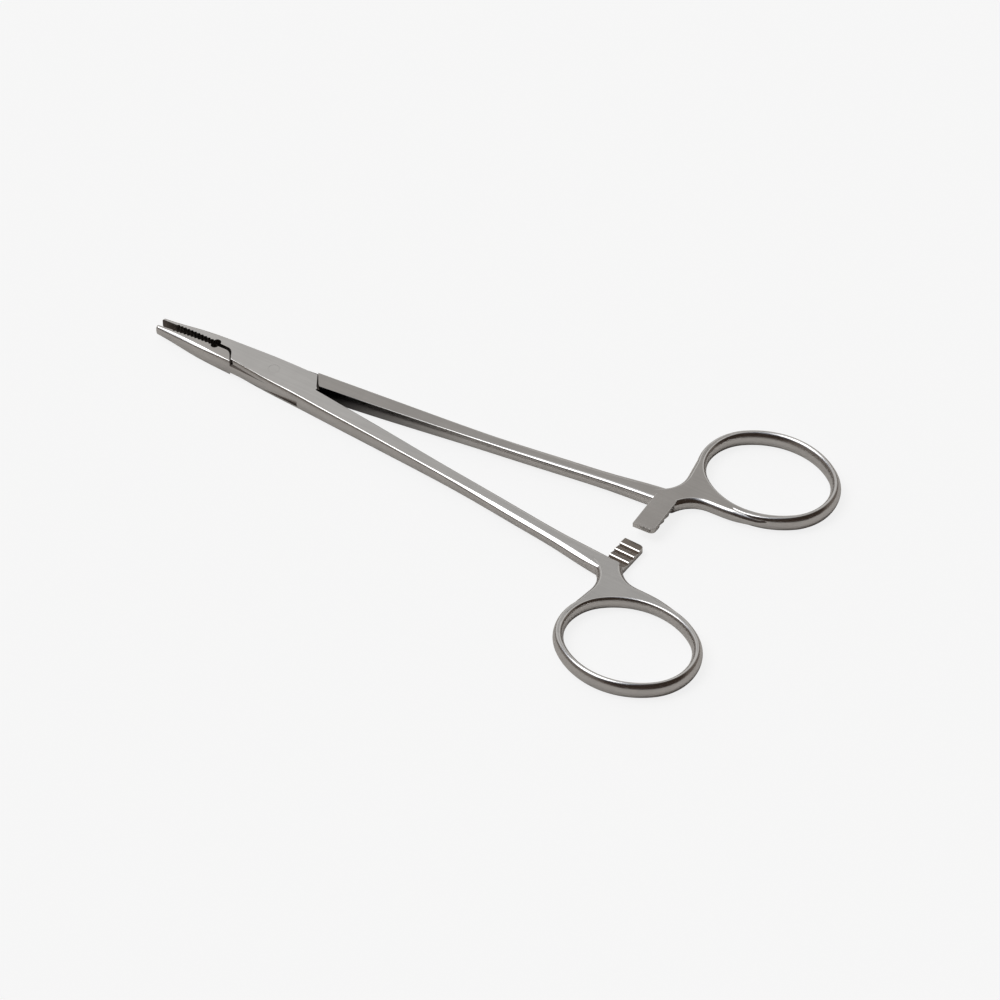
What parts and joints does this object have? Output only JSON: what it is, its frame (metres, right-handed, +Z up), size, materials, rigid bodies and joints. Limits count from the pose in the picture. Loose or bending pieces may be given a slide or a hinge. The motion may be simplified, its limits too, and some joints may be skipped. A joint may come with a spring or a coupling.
{
  "type": "surgical needle holder",
  "caption": "Ring-handled surgical needle holder with serrated jaws, a box lock joint and a ratchet catch, lying partly open.",
  "frame": {"origin": "on the axis of the box lock pin, in the plane that the instrument lies on", "axes": "+X from the pin toward the finger rings along the middle line, +Y toward the ring of the male half, +Z up from the plane it lies on"},
  "size_m": [0.1586, 0.0874, 0.0042],
  "materials": {
    "female_half": "satin flats with polished edges and finger ring",
    "male_half": "satin flats with polished edges and finger ring",
    "pivot_pin": "ends ground and brushed flush with the box"
  },
  "bodies": {
    "female": {"female_half": "female_half", "pivot_pin": "pivot_pin"},
    "male": {"male_half": "male_half"}
  },
  "joints": [
    {"name": "box_lock_pivot", "type": "hinge", "parent": "female", "child": "male", "pos_m": [0, 0, 0.0021], "axis": [0, 0, 1], "range_deg": [-3.9, 24]}
  ]
}
